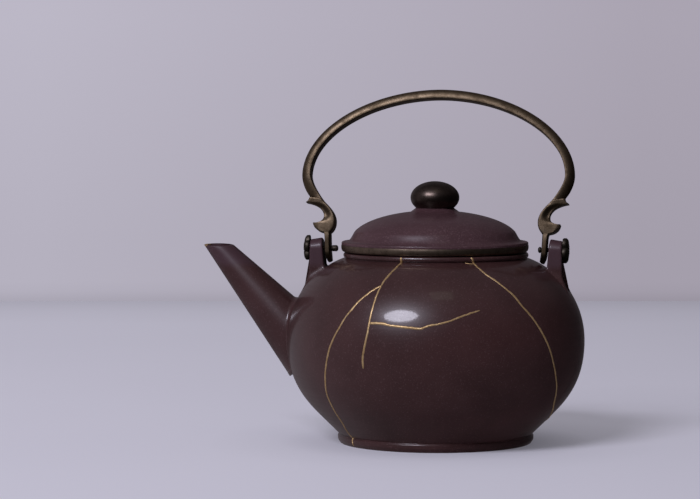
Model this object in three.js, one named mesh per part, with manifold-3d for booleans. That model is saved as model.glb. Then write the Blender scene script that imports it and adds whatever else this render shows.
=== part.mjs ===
// A mended stoneware teapot: a turned pot with a straight spout and two ears, a domed lid with a
// metal rim band and a metal knob, and a bail handle that swings on two flower-headed pins.
// Millimetres, +Z up. The origin is the centre of the foot's underside, and the spout points along -X.
import * as THREE from "three";
import { mergeVertices } from "three/addons/utils/BufferGeometryUtils.js";
import Module from "manifold-3d";

const wasm = await Module();
wasm.setup();

// Facets round a turned piece, and the gap kept between two pieces that meet
const POT_FACETS = 40;
const SMALL_FACETS = 24;
const PIN_FACETS = 12;
const GAP = 0.3;

// Pot: belly circle, elliptical shoulder above it, and below it a full curve to a straight run to the foot
const BELLY_RADIUS = 70;
const BELLY_HEIGHT = 48.4;
const SHOULDER_ACROSS = 39.4;
const SHOULDER_UP = 40.6;
const UNDERSIDE_BEND = 19.4;
const UNDERSIDE_END_BEND = { r: 61.7, z: 20.2 };
const UNDERSIDE_END = { r: 53.55, z: 12.2 };
const INSIDE_ROUND = 44.5;
const INSIDE_HEIGHT = 47.9;
const WALL = 3.5;
const FLOOR_HEIGHT = 5.5;

// Foot, neck and mouth
const FOOT_RADIUS = 46.1;
const FOOT_HEIGHT = 4.3;
const FOOT_BEAD_HEIGHT = 3.5;
const FOOT_GROOVE_RADIUS = 45.5;
const SOLE_RADIUS = 45.1;
const NECK_RADIUS = 43.5;
const NECK_BOTTOM = 86.8;
const NECK_TOP = 89.6;
const NECK_ROUND = 0.7;
const MOUTH_RADIUS = 38;

// Spout: a straight cone about an axis that drops towards the pot, cut level at its mouth
const SPOUT_APEX = { x: -129.2, z: 119 };
const SPOUT_DROP = 48;
const SPOUT_TAPER = 0.1433;
const SPOUT_START = 30;
const SPOUT_END = 104;
const SPOUT_MOUTH = 92.4;
const BORE_TAPER = 0.12;
const BORE_THINNING = 0.9;
const BORE_END = 112;

// Ears: the inner face leans outwards, the outer face is upright and flares into the shoulder
const EAR_INNER_X = 53.45;
const EAR_LEAN = 0.09;
const EAR_OUTER_X = 59.7;
const EAR_TOP_INNER = 96;
const EAR_TOP_OUTER = 94.8;
const EAR_HALF_WIDTH = 5;
const EAR_BASE = 72;
const EAR_FLARE_TOP = 80.5;
const EAR_FLARE = { x: 65.5, z: 66.5 };
const EAR_FLARE_BEND = { x: 60, z: 76.5 };
const EAR_SPREAD = 1.5;

// Pivot pins through the ears
const PIVOT_HEIGHT = 91;
const PIN_RADIUS = 0.95;
const PIN_HOLE_RADIUS = 1.25;
const PIN_HEAD_RADIUS = 1.5;
const LEFT_PIN_END_X = 46.6;
const RIGHT_PIN_END_X = 48.2;
const ROSETTE_RADIUS = 6.2;
const ROSETTE_PETALS = 5;
const ROSETTE_THICKNESS = 2.2;
const ROSETTE_BOSS = 1;
const ROSETTE_BOSS_RADIUS = 2.2;

// Lid: an elliptical dome on a seat, with a flange in the mouth and a stem under the knob. It sits off the
// pot's axis by part of the flange's play.
const LID_SHIFT = -0.5;
const LID_SEAT = NECK_TOP + GAP;
const DOME_RADIUS = 39.6;
const DOME_RISE = 14.15;
const DOME_BASE = 95.05;
const DOME_THICKNESS = 3.4;
const LIP_RADIUS = 43.8;
const LIP_TOP = 94.5;
const LIP_BOTTOM = 92.9;
const LID_EDGE_RADIUS = 42.1;
const FLANGE_RADIUS = 37.2;
const FLANGE_THICKNESS = 2.8;
const FLANGE_DEPTH = 8.5;
const STEM_BASE_RADIUS = 11.5;
const STEM_TOP_RADIUS = 8.8;
const STEM_TOP = 110.1;

// Metal band round the lid's edge, and the knob, a flattened ball
const BAND_RADIUS = 44.1;
const BAND_BOTTOM = 90;
const BAND_TOP = LIP_BOTTOM - GAP;
const BAND_FLANK = 0.9;
const KNOB_RADIUS = 11.5;
const KNOB_HALF_HEIGHT = 7.7;
const KNOB_CENTRE = 115.3;

// Handle: the bow's ridge line is a superellipse, closed in at the legs by a round arc. Heights are those
// of the upright handle, which leans back about its pivot by the lean, in degrees.
const HANDLE_LEAN = 10.5;
const BOW_HALF_SPAN = 60.4;
const BOW_RISE = 36.8;
const BOW_CENTRE = 126;
const BOW_POWER = 1.93;
const BOW_HALF_DEPTH = 3.7;
const BOW_OUTER_CROWN = 4.5;
const BOW_INNER_CROWN = 0.3;
const LEG_ARC_RADIUS = 13.5;
const LEG_ARC_TURN = 45;
const BOW_STEPS = 44;

// Scroll at each end of the bow: a rounded back, and two horns round a crescent notch
const SCROLL_HALF_DEPTH = 3.6;
const SCROLL_TOP_INNER = { x: 57.5, z: 118.5 };
const SCROLL_TOP_OUTER = { x: 62.5, z: 118 };
const SCROLL_BACK = { x: 48, z: 103.7 };
const HORN_ROOT = { x: 60.6, z: 114.9 };
const UPPER_HORN = { x: 62.6, z: 112.4 };
const LOWER_HORN = { x: 59.4, z: 102.9 };
const NOTCH_DEPTH = 11;

// Tongue: a flat strap from the scroll down past the pivot, bent inwards at its rounded end
const TONGUE_INNER_X = 50.4;
const TONGUE_OUTER_X = 52.7;
const TONGUE_TOP = 98.3;
const TONGUE_PIVOT_INNER_X = 50.1;
const TONGUE_PIVOT_OUTER_X = 52.5;
const TONGUE_TIP_INNER = { x: 49.2, z: 84.9 };
const TONGUE_TIP_OUTER = { x: 51, z: 84 };
const TONGUE_END_HALF_WIDTH = 1.7;
const TONGUE_NARROWS = 89;

// Finishes: burnished clay, worn brass, and darker bronze
const CLAY = { color: 0x34262a, roughness: 0.3, metalness: 0 };
const BRASS = { color: 0x7d6c55, roughness: 0.4, metalness: 1 };
const BRONZE = { color: 0x453a33, roughness: 0.35, metalness: 1 };

// Points on an ellipse from one angle to another, in degrees
function ellipseArc(centreX, centreY, radiusX, radiusY, from, to, steps) {
  return Array.from({ length: steps + 1 }, (_, i) => {
    const angle = THREE.MathUtils.degToRad(from + ((to - from) * i) / steps);
    return new THREE.Vector2(centreX + radiusX * Math.cos(angle), centreY + radiusY * Math.sin(angle));
  });
}

function point(x, y) {
  return new THREE.Vector2(x, y);
}

function acosDegrees(ratio) {
  return THREE.MathUtils.radToDeg(Math.acos(ratio));
}

function asinDegrees(ratio) {
  return THREE.MathUtils.radToDeg(Math.asin(ratio));
}

// A profile of radius and height turned about Z
function turned(profile, facets) {
  return new THREE.LatheGeometry(profile, facets).rotateX(Math.PI / 2);
}

// An outline of X and Z, extruded both ways along Y
function slab(outline, halfDepth, curveSegments) {
  const geometry = new THREE.ExtrudeGeometry(outline, {
    depth: 2 * halfDepth,
    bevelEnabled: false,
    curveSegments,
  });
  return geometry.translate(0, 0, -halfDepth).rotateX(Math.PI / 2);
}

// A cylinder along X between two places
function rodAlongX(radius, fromX, toX, height, facets) {
  const rod = new THREE.CylinderGeometry(radius, radius, Math.abs(toX - fromX), facets);
  return rod.rotateZ(Math.PI / 2).translate((fromX + toX) / 2, 0, height);
}

function box(lowX, lowY, lowZ, highX, highY, highZ) {
  const block = new THREE.BoxGeometry(highX - lowX, highY - lowY, highZ - lowZ);
  return block.translate((lowX + highX) / 2, (lowY + highY) / 2, (lowZ + highZ) / 2);
}

function toSolid(geometry) {
  const bare = geometry.clone();
  bare.deleteAttribute("normal");
  bare.deleteAttribute("uv");
  const merged = mergeVertices(bare, 1e-4);
  const mesh = new wasm.Mesh({
    numProp: 3,
    vertProperties: merged.attributes.position.array,
    triVerts: new Uint32Array(merged.index.array),
  });
  return new wasm.Manifold(mesh);
}

function toGeometry(solid) {
  const { vertProperties, triVerts } = solid.getMesh();
  const geometry = new THREE.BufferGeometry();
  geometry.setAttribute("position", new THREE.BufferAttribute(vertProperties, 3));
  geometry.setIndex(new THREE.BufferAttribute(triVerts, 1));
  geometry.computeVertexNormals();
  return geometry;
}

function mirrored(geometry) {
  return geometry.clone().rotateZ(Math.PI);
}

// Pot outside, from the middle of the sole up to the rim and in to the axis
function potOutside() {
  const shoulderX = BELLY_RADIUS - SHOULDER_ACROSS;
  const shoulderEnd = acosDegrees((NECK_RADIUS - shoulderX) / SHOULDER_ACROSS);
  const underside = new THREE.CubicBezierCurve(
    point(UNDERSIDE_END.r, UNDERSIDE_END.z),
    point(UNDERSIDE_END_BEND.r, UNDERSIDE_END_BEND.z),
    point(BELLY_RADIUS, BELLY_HEIGHT - UNDERSIDE_BEND),
    point(BELLY_RADIUS, BELLY_HEIGHT),
  );
  const profile = [
    point(0, 0),
    point(SOLE_RADIUS, 0),
    point(FOOT_RADIUS, FOOT_BEAD_HEIGHT / 2),
    point(FOOT_RADIUS, FOOT_BEAD_HEIGHT),
    point(FOOT_GROOVE_RADIUS, FOOT_HEIGHT),
    ...underside.getPoints(7),
    ...ellipseArc(shoulderX, BELLY_HEIGHT, SHOULDER_ACROSS, SHOULDER_UP, 0, shoulderEnd, 10).slice(1),
    point(NECK_RADIUS, (NECK_BOTTOM + NECK_TOP) / 2),
    point(NECK_RADIUS - NECK_ROUND, NECK_TOP),
    point(0, NECK_TOP),
  ];
  return turned(profile, POT_FACETS);
}

// Pot inside, open past the rim
function potInside() {
  const shoulderX = BELLY_RADIUS - SHOULDER_ACROSS;
  const across = SHOULDER_ACROSS - WALL;
  const mouthAngle = acosDegrees((MOUTH_RADIUS - shoulderX) / across);
  const roundX = BELLY_RADIUS - WALL - INSIDE_ROUND;
  const floorAngle = asinDegrees((INSIDE_HEIGHT - FLOOR_HEIGHT) / INSIDE_ROUND);
  const profile = [
    point(0, FLOOR_HEIGHT),
    ...ellipseArc(roundX, INSIDE_HEIGHT, INSIDE_ROUND, INSIDE_ROUND, -floorAngle, 0, 9),
    ...ellipseArc(shoulderX, BELLY_HEIGHT, across, SHOULDER_UP - WALL, 0, mouthAngle, 7).slice(1),
    point(MOUTH_RADIUS, NECK_TOP + WALL),
    point(0, NECK_TOP + WALL),
  ];
  return turned(profile, POT_FACETS);
}

// A cone along the spout's axis between two distances from its apex
function coneOnSpoutAxis(from, to, radiusAt, facets) {
  const cone = new THREE.CylinderGeometry(radiusAt(from), radiusAt(to), to - from, facets);
  const drop = THREE.MathUtils.degToRad(SPOUT_DROP);
  const middle = (from + to) / 2;
  cone.rotateX(Math.PI / 2).rotateY(drop - Math.PI / 2);
  return cone.translate(
    SPOUT_APEX.x + middle * Math.cos(drop),
    0,
    SPOUT_APEX.z - middle * Math.sin(drop),
  );
}

function spoutOutside() {
  const cone = coneOnSpoutAxis(SPOUT_START, SPOUT_END, (along) => along * SPOUT_TAPER, SMALL_FACETS);
  const aboveMouth = box(SPOUT_APEX.x, -20, SPOUT_MOUTH, -80, 20, SPOUT_APEX.z);
  return toSolid(cone).subtract(toSolid(aboveMouth));
}

function spoutBore() {
  const boreRadius = (along) => along * BORE_TAPER - BORE_THINNING;
  return toSolid(coneOnSpoutAxis(SPOUT_START - 8, BORE_END, boreRadius, SMALL_FACETS));
}

function earInnerX(height) {
  return EAR_INNER_X + EAR_LEAN * (height - PIVOT_HEIGHT);
}

// The right ear: its profile across X and Z, topped by a round arch across Y and Z
function rightEar() {
  const side = new THREE.Shape();
  side.moveTo(earInnerX(EAR_BASE), EAR_BASE);
  side.lineTo(EAR_FLARE.x - WALL, EAR_FLARE.z);
  side.lineTo(EAR_FLARE.x, EAR_FLARE.z);
  side.quadraticCurveTo(EAR_FLARE_BEND.x, EAR_FLARE_BEND.z, EAR_OUTER_X, EAR_FLARE_TOP);
  side.lineTo(EAR_OUTER_X, EAR_TOP_OUTER);
  side.lineTo(earInnerX(EAR_TOP_INNER), EAR_TOP_INNER);
  const arch = new THREE.Shape();
  arch.moveTo(EAR_HALF_WIDTH + EAR_SPREAD, EAR_FLARE.z);
  arch.lineTo(EAR_HALF_WIDTH, EAR_FLARE_TOP);
  arch.absarc(0, PIVOT_HEIGHT, EAR_HALF_WIDTH, 0, Math.PI);
  arch.lineTo(-EAR_HALF_WIDTH, EAR_FLARE_TOP);
  arch.lineTo(-EAR_HALF_WIDTH - EAR_SPREAD, EAR_FLARE.z);
  const archDepth = EAR_FLARE.x;
  const archSlab = slab(arch, archDepth, 8).rotateZ(Math.PI / 2).translate(archDepth, 0, 0);
  return toSolid(slab(side, EAR_HALF_WIDTH + 2 * EAR_SPREAD, 6)).intersect(toSolid(archSlab));
}

function pinHole() {
  return rodAlongX(PIN_HOLE_RADIUS, EAR_INNER_X - 6, EAR_OUTER_X + 6, PIVOT_HEIGHT, PIN_FACETS);
}

// The fired pot in one piece: turned body, spout and ears, hollowed and bored
function potBody() {
  const ear = toGeometry(rightEar());
  return toSolid(potOutside())
    .add(spoutOutside())
    .add(toSolid(ear))
    .add(toSolid(mirrored(ear)))
    .subtract(toSolid(potInside()))
    .subtract(spoutBore())
    .subtract(toSolid(pinHole()))
    .subtract(toSolid(mirrored(pinHole())));
}

// Lid profile, from the top of the stem over the dome, round the edge and back under the dome
function lid() {
  const stemAngle = acosDegrees(STEM_BASE_RADIUS / DOME_RADIUS);
  const innerRadius = DOME_RADIUS - DOME_THICKNESS;
  const flangeInner = FLANGE_RADIUS - FLANGE_THICKNESS;
  const flangeAngle = acosDegrees(flangeInner / innerRadius);
  const innerBase = DOME_BASE - DOME_THICKNESS / 2;
  const profile = [
    point(0, STEM_TOP),
    point(STEM_TOP_RADIUS, STEM_TOP),
    ...ellipseArc(0, DOME_BASE, DOME_RADIUS, DOME_RISE, stemAngle, 6, 7),
    point((DOME_RADIUS + LIP_RADIUS) / 2 - 0.6, DOME_BASE - 0.1),
    point(LIP_RADIUS, LIP_TOP),
    point(LIP_RADIUS, LIP_BOTTOM),
    point(LID_EDGE_RADIUS, LIP_BOTTOM),
    point(LID_EDGE_RADIUS, LID_SEAT),
    point(FLANGE_RADIUS, LID_SEAT),
    point(FLANGE_RADIUS, LID_SEAT - FLANGE_DEPTH),
    point(flangeInner, LID_SEAT - FLANGE_DEPTH),
    ...ellipseArc(0, innerBase, innerRadius, DOME_RISE - DOME_THICKNESS / 2, flangeAngle, 90, 6),
  ];
  return turned(profile.reverse(), POT_FACETS);
}

function lidRimBand() {
  const inside = LID_EDGE_RADIUS + GAP;
  const middle = (BAND_BOTTOM + BAND_TOP) / 2;
  const bulge = BAND_RADIUS - inside - BAND_FLANK;
  const halfHeight = (BAND_TOP - BAND_BOTTOM) / 2;
  const profile = [
    point(inside, BAND_BOTTOM),
    ...ellipseArc(inside + BAND_FLANK, middle, bulge, halfHeight, -90, 90, 5),
    point(inside, BAND_TOP),
    point(inside, BAND_BOTTOM),
  ];
  return turned(profile, POT_FACETS);
}

function lidKnob() {
  const bottom = STEM_TOP + GAP;
  const restAngle = -asinDegrees((KNOB_CENTRE - bottom) / KNOB_HALF_HEIGHT);
  const profile = [
    point(0, bottom),
    ...ellipseArc(0, KNOB_CENTRE, KNOB_RADIUS, KNOB_HALF_HEIGHT, restAngle, 90, 9),
  ];
  return turned(profile, SMALL_FACETS);
}

// The right half of the bow's ridge line, from its top round to the end of the leg
function bowRidge() {
  const overTop = Array.from({ length: BOW_STEPS / 4 + 1 }, (_, i) => {
    const angle = (Math.PI / 2) * (1 - (4 * i) / BOW_STEPS);
    const power = 2 / BOW_POWER;
    return new THREE.Vector3(
      BOW_HALF_SPAN * Math.cos(angle) ** power,
      0,
      BOW_CENTRE + BOW_RISE * Math.max(0, Math.sin(angle)) ** power,
    );
  });
  const legX = BOW_HALF_SPAN - LEG_ARC_RADIUS;
  const leg = ellipseArc(legX, BOW_CENTRE, LEG_ARC_RADIUS, LEG_ARC_RADIUS, 0, -LEG_ARC_TURN, 5);
  return [...overTop, ...leg.slice(1).map((p) => new THREE.Vector3(p.x, 0, p.y))];
}

// The bow: a half-round section, almost flat on the inside, swept along the ridge line
function bow() {
  const right = bowRidge();
  const left = right.slice(1).map((p) => new THREE.Vector3(-p.x, 0, p.z));
  const path = new THREE.CatmullRomCurve3([...left.reverse(), ...right]);
  const section = new THREE.Shape([
    ...ellipseArc(0, 0, BOW_HALF_DEPTH, BOW_INNER_CROWN, 0, 180, 4),
    ...ellipseArc(0, 0, BOW_HALF_DEPTH, BOW_OUTER_CROWN, 180, 360, 8).slice(1, -1),
  ]);
  return new THREE.ExtrudeGeometry(section, { steps: BOW_STEPS, extrudePath: path });
}

// The right end of the handle: a crescent scroll with two horns, and the tongue below it
function rightScroll() {
  const outline = new THREE.Shape();
  outline.moveTo(SCROLL_TOP_INNER.x, SCROLL_TOP_INNER.z);
  outline.bezierCurveTo(53.9, 112.4, 47.5, 109.4, SCROLL_BACK.x, SCROLL_BACK.z);
  outline.bezierCurveTo(48.2, 100.8, 49.5, 99, TONGUE_INNER_X, TONGUE_TOP);
  outline.lineTo(TONGUE_PIVOT_INNER_X, PIVOT_HEIGHT);
  outline.lineTo(TONGUE_TIP_INNER.x, TONGUE_TIP_INNER.z);
  outline.lineTo(TONGUE_TIP_OUTER.x, TONGUE_TIP_OUTER.z);
  outline.lineTo(TONGUE_PIVOT_OUTER_X, PIVOT_HEIGHT);
  outline.lineTo(TONGUE_OUTER_X, TONGUE_TOP - 1.8);
  outline.quadraticCurveTo(TONGUE_OUTER_X, TONGUE_TOP, TONGUE_OUTER_X + 0.9, TONGUE_TOP);
  outline.bezierCurveTo(56, 98.5, 58, 100.2, LOWER_HORN.x, LOWER_HORN.z);
  outline.bezierCurveTo(
    LOWER_HORN.x - 0.8 * NOTCH_DEPTH,
    LOWER_HORN.z,
    UPPER_HORN.x - NOTCH_DEPTH,
    UPPER_HORN.z - 1.5,
    UPPER_HORN.x,
    UPPER_HORN.z,
  );
  outline.quadraticCurveTo(HORN_ROOT.x + 0.6, UPPER_HORN.z + 0.7, HORN_ROOT.x, HORN_ROOT.z);
  outline.lineTo(SCROLL_TOP_OUTER.x, SCROLL_TOP_OUTER.z);
  return toSolid(slab(outline, SCROLL_HALF_DEPTH, 6));
}

// A tongue's end is rounded across Y, so it clears the shoulder as the handle swings
function tongueEnds() {
  const end = new THREE.Shape();
  const clear = SCROLL_HALF_DEPTH + 1;
  const tip = TONGUE_TIP_OUTER.z;
  const below = tip - 5;
  end.moveTo(-clear, TONGUE_NARROWS);
  end.lineTo(-clear, below);
  end.lineTo(clear, below);
  end.lineTo(clear, TONGUE_NARROWS);
  end.lineTo(SCROLL_HALF_DEPTH, TONGUE_NARROWS);
  end.lineTo(TONGUE_END_HALF_WIDTH, tip);
  end.lineTo(-TONGUE_END_HALF_WIDTH, tip);
  end.lineTo(-SCROLL_HALF_DEPTH, TONGUE_NARROWS);
  return toSolid(slab(end, EAR_OUTER_X, 4).rotateZ(Math.PI / 2));
}

// The cast handle in one piece, leaning back on its pins
function bailHandle() {
  const scroll = toGeometry(rightScroll());
  const upright = toSolid(bow())
    .add(toSolid(scroll))
    .add(toSolid(mirrored(scroll)))
    .subtract(tongueEnds())
    .subtract(toSolid(pinHole()))
    .subtract(toSolid(mirrored(pinHole())));
  const lean = THREE.MathUtils.degToRad(HANDLE_LEAN);
  return toGeometry(upright)
    .translate(0, 0, -PIVOT_HEIGHT)
    .rotateX(-lean)
    .translate(0, 0, PIVOT_HEIGHT);
}

// A right-hand pin: a five-petalled head outside the ear, a shank, and a peened end inside the handle.
// The first petal points up when upright is 1, and down when it is -1.
function rosettePin(upright, endX) {
  const flower = new THREE.Shape(
    Array.from({ length: ROSETTE_PETALS * 8 }, (_, i) => {
      const angle = (2 * Math.PI * i) / (ROSETTE_PETALS * 8);
      const lobe = Math.abs(Math.cos((ROSETTE_PETALS * angle) / 2));
      const radius = ROSETTE_RADIUS * (0.78 + 0.22 * lobe);
      return point(radius * Math.sin(angle) * upright, radius * Math.cos(angle) * upright);
    }),
  );
  const petals = new THREE.ExtrudeGeometry(flower, { depth: ROSETTE_THICKNESS, bevelEnabled: false });
  const back = EAR_OUTER_X + GAP;
  petals.rotateX(Math.PI / 2).rotateZ(Math.PI / 2).translate(back, 0, PIVOT_HEIGHT);
  const front = back + ROSETTE_THICKNESS;
  const boss = rodAlongX(ROSETTE_BOSS_RADIUS, front - 1, front + ROSETTE_BOSS, PIVOT_HEIGHT, PIN_FACETS);
  const shank = rodAlongX(PIN_RADIUS, endX + 0.5, back + 1, PIVOT_HEIGHT, PIN_FACETS);
  const peened = rodAlongX(PIN_HEAD_RADIUS, endX, TONGUE_PIVOT_INNER_X - 2 * GAP, PIVOT_HEIGHT, PIN_FACETS);
  return toSolid(petals).add(toSolid(boss)).add(toSolid(shank)).add(toSolid(peened));
}

const teapot = new THREE.Group();

function addPiece(name, geometry, finish) {
  const mesh = new THREE.Mesh(geometry, new THREE.MeshStandardMaterial(finish));
  mesh.name = name;
  teapot.add(mesh);
  return mesh;
}

addPiece("teapot_body", toGeometry(potBody()), CLAY);
for (const piece of [
  addPiece("lid", lid(), CLAY),
  addPiece("lid_rim_band", lidRimBand(), BRASS),
  addPiece("lid_knob", lidKnob(), BRONZE),
]) {
  piece.position.x = LID_SHIFT;
}
addPiece("bail_handle", bailHandle(), BRASS);
addPiece("right_rosette_pin", toGeometry(rosettePin(-1, RIGHT_PIN_END_X)), BRONZE);
const leftPin = addPiece("left_rosette_pin", toGeometry(rosettePin(1, LEFT_PIN_END_X)), BRONZE);
leftPin.rotation.z = Math.PI;

export default teapot;
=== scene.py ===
from math import acos, asin, atan, cos, degrees, exp, hypot, pi, radians, sin, sqrt, tan

import bmesh
import bpy
from mathutils import Matrix, Quaternion, Vector, noise


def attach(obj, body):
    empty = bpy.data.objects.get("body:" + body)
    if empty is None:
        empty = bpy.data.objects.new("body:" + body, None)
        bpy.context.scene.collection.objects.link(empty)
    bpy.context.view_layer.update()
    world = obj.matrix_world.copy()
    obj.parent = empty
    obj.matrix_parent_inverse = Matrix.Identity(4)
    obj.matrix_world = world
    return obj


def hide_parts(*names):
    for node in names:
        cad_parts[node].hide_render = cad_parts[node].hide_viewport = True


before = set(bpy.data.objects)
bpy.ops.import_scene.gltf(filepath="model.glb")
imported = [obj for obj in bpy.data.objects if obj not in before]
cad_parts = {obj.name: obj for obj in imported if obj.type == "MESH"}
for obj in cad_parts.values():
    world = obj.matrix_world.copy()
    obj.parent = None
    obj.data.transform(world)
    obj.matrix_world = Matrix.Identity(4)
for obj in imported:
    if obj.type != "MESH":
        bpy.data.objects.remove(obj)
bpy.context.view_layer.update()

# A mended stoneware teapot. Sizes are in millimetres, in the CAD frame: the origin is the centre of the
# foot's underside, +Z is up and the spout points along -X.
MM = 0.001

# Pot profile
BELLY_RADIUS = 70.0
BELLY_HEIGHT = 48.4
SHOULDER_ACROSS = 39.4
SHOULDER_UP = 40.6
UNDERSIDE_BEND = 19.4
UNDERSIDE_END_BEND = (61.7, 20.2)
UNDERSIDE_END = (53.55, 12.2)
INSIDE_ROUND = 44.5
INSIDE_HEIGHT = 47.9
WALL = 3.5
FLOOR_HEIGHT = 5.5
FLOOR_CORNER_RISE = 3.0
FLOOR_CORNER_REACH = 4.0
FLOOR_CORNER_ROUND = 5.0
FOOT_HEIGHT = 4.3
FOOT_BEAD_HEIGHT = 3.5
FOOT_GROOVE_RADIUS = 45.5
FOOT_RADIUS = 46.15
SOLE_RADIUS = 45.0
FOOT_EDGE = 0.6
FOOT_ROUND = 1.6
GROOVE_ROUND = 0.15
NECK_BEAD_X = 42.6
NECK_BEAD_HALF = 1.2
NECK_BEAD_OUT = 0.95
NECK_BEAD_Z = 88.35
NECK_BEAD_ANGLE = 78.0
NECK_ANGLE = 72.0
NECK_TOP = 89.6
RIM_EDGE = 0.25
RIM_LAND = 1.0
MOUTH_RADIUS = 38.0
MOUTH_CHAMFER = 0.4
MOUTH_ROUND = 0.3
CUT_PAST = 2.0
POT_SEGMENTS = 256
INSIDE_SEGMENTS = 128

# Spout cone
SPOUT_APEX = Vector((-129.2, 0.0, 119.0))
SPOUT_DROP = radians(48.0)
SPOUT_TAPER = 0.1433
SPOUT_END = 104.0
CLEAR_OF_POT = 50.0
SPOUT_MOUTH = 92.25
MOUTH_TILT = 0.4
SPOUT_FILLET = 2.3
LIP_ROUND = 0.4
LIP_WALL = 0.85
LIP_WALL_GROWTH = 0.12
BORE_TAPER = 0.12
BORE_THINNING = 0.9
BORE_END = 112.0
BORE_PAST = 3.0
BORE_ROW_SPREAD = 1.4

# Ears and pivot
PIVOT_HEIGHT = 91.0
EAR_INNER_X = 53.45
EAR_LEAN = 0.09
EAR_OUTER_X = 59.7
EAR_FLARE_TOP = 80.5
EAR_BASE = 66.5
EAR_BEND = (60.0, 76.5)
EAR_BASE_X = 65.5
EAR_HALF_WIDTH = 5.0
EAR_SPREAD = 1.5
EAR_TOP_SLOPE = 0.7
EAR_EDGE = 0.75
EAR_FILLET = 1.5
PIN_HOLE_RADIUS = 1.25

# Lid, band and knob. The lid sits a little off the pot's axis.
LID_SHIFT = -0.5
LID_SEAT = 89.9
DOME_RADIUS = 39.6
DOME_RISE = 14.15
DOME_BASE = 95.05
DOME_END = 18.0
DOME_THICKNESS = 3.4
FLARE_BEND = (38.9, 97.6)
FLARE_END_BEND = (39.7, 94.9)
FLARE_END = (41.7, 94.65)
LIP_RADIUS = 43.95
LIP_TOP = 94.65
LIP_BOTTOM = 93.2
LID_EDGE_RADIUS = 42.1
FLANGE_RADIUS = 37.2
FLANGE_THICKNESS = 2.8
FLANGE_DEPTH = 8.5
FLANGE_TOP_EDGE = 4.2
UNDER_EDGE = 0.6
STEM_BASE_RADIUS = 11.45
STEM_TOP_RADIUS = 9.0
STEM_TOP = 110.4
BAND_RADIUS = 44.1
BAND_INSIDE = 42.2
BAND_BOTTOM = 90.05
BAND_TOP = 93.18
BAND_MIDDLE = 92.2
BAND_FLANK = 0.9
KNOB_RADIUS = 11.5
KNOB_HALF_HEIGHT = 7.7
KNOB_CENTRE = 115.3
KNOB_BOTTOM = 110.45
KNOB_EDGE = 0.15
LID_SEGMENTS = 224
KNOB_SEGMENTS = 128

# Handle. Heights are those of the upright handle, which then leans back about its pins.
HANDLE_LEAN = radians(10.5)
BOW_CENTRE = 126.0
BOW_POWER = 1.93
BOW_INNER = (60.4, 36.5)
BOW_OUTER = (64.9, 41.15)
BOW_DRIFT = 0.6
BOW_HALF_DEPTH = 3.65
BOW_RIDGE = 0.1
LEG_END_HALF_DEPTH = 3.0
SCROLL_HALF_DEPTH = 3.75
NOTCH_HALF_DEPTH = 3.65
NECK_HALF_DEPTH = 3.55
TONGUE_HALF_DEPTH = 4.2
TONGUE_END_HALF_DEPTH = 1.9
TONGUE_NARROWS = 89.0
TONGUE_NARROWING = 2.2

# Pins
ROSETTE_BACK_X = 60.0
ROSETTE_PETALS = 5
PETAL_CENTRE = 3.5
PETAL_RADIUS = 2.7
PETAL_DOME = 1.6
PETAL_CUP = 0.35
PETAL_CUP_RADIUS = 1.3
PETAL_ROWS = 25
STAMEN_RING = 1.7
STAMEN_SPREAD = 0.48
BOSS_HEIGHT = 0.95
BOSS_RADIUS = 0.75
FLOWER_HEIGHT = 1.55
FLOWER_FALL = 0.75
PIN_SEGMENTS = 120
PIN_RADIUS = 0.95
PIN_HEAD_RADIUS = 1.5
PIN_HEAD_X = 49.6
LEFT_PIN_END_X = 46.6
RIGHT_PIN_END_X = 48.2


# Profiles and meshes

def between(start, end, t):
    return start + (end - start) * t


def ellipse_arc(cx, cz, rx, rz, start, end, steps):
    """Points (radius, height) on an ellipse between two angles in degrees."""
    angles = [radians(between(start, end, i / steps)) for i in range(steps + 1)]
    return [(cx + rx * cos(a), cz + rz * sin(a)) for a in angles]


def turns(segments):
    """Angles of a full circle in equal steps."""
    return [2 * pi * j / segments for j in range(segments)]


def rounded(corners, steps=6):
    """A run of (r, z, fillet) corners, with every corner turned into an arc of its fillet radius."""
    points = []
    for i, (r, z, fillet) in enumerate(corners):
        here = Vector((r, z))
        if fillet <= 0 or i in (0, len(corners) - 1):
            points.append((r, z))
            continue
        to_last = Vector(corners[i - 1][:2]) - here
        to_next = Vector(corners[i + 1][:2]) - here
        half = to_last.angle(to_next) / 2
        reach = min(fillet / tan(half), 0.49 * to_last.length, 0.49 * to_next.length)
        start = here + to_last.normalized() * reach
        end = here + to_next.normalized() * reach
        centre = here + (to_last.normalized() + to_next.normalized()).normalized() * (reach / cos(half))
        first = start - centre
        turn = first.angle_signed(end - centre)
        for k in range(steps + 1):
            points.append(tuple(centre + Matrix.Rotation(-turn * k / steps, 2) @ first))
    return points


def add_object(name, data):
    obj = bpy.data.objects.new(name, data)
    bpy.context.scene.collection.objects.link(obj)
    return obj


def mesh_from(name, verts, faces):
    """A mesh object from millimetre points, with its faces turned outwards."""
    mesh = bpy.data.meshes.new(name)
    mesh.from_pydata([Vector(v) * MM for v in verts], [], faces)
    bm = bmesh.new()
    bm.from_mesh(mesh)
    bmesh.ops.remove_doubles(bm, verts=bm.verts, dist=1e-7)
    bmesh.ops.recalc_face_normals(bm, faces=bm.faces)
    bm.to_mesh(mesh)
    bm.free()
    return add_object(name, mesh)


def grid_faces(rows, columns, close_rows=False, start=0):
    """Quads between closed rows of points."""
    faces = []
    for i in range(rows if close_rows else rows - 1):
        here = start + i * columns
        above = start + (i + 1) % rows * columns
        for j in range(columns):
            k = (j + 1) % columns
            faces.append((here + j, here + k, above + k, above + j))
    return faces


def tube_faces(rows, columns, start=0):
    """Quads between closed rows of points, and a flat face on each end."""
    faces = grid_faces(rows, columns, start=start)
    for row in (0, rows - 1):
        faces.append(tuple(start + row * columns + j for j in range(columns)))
    return faces


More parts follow.
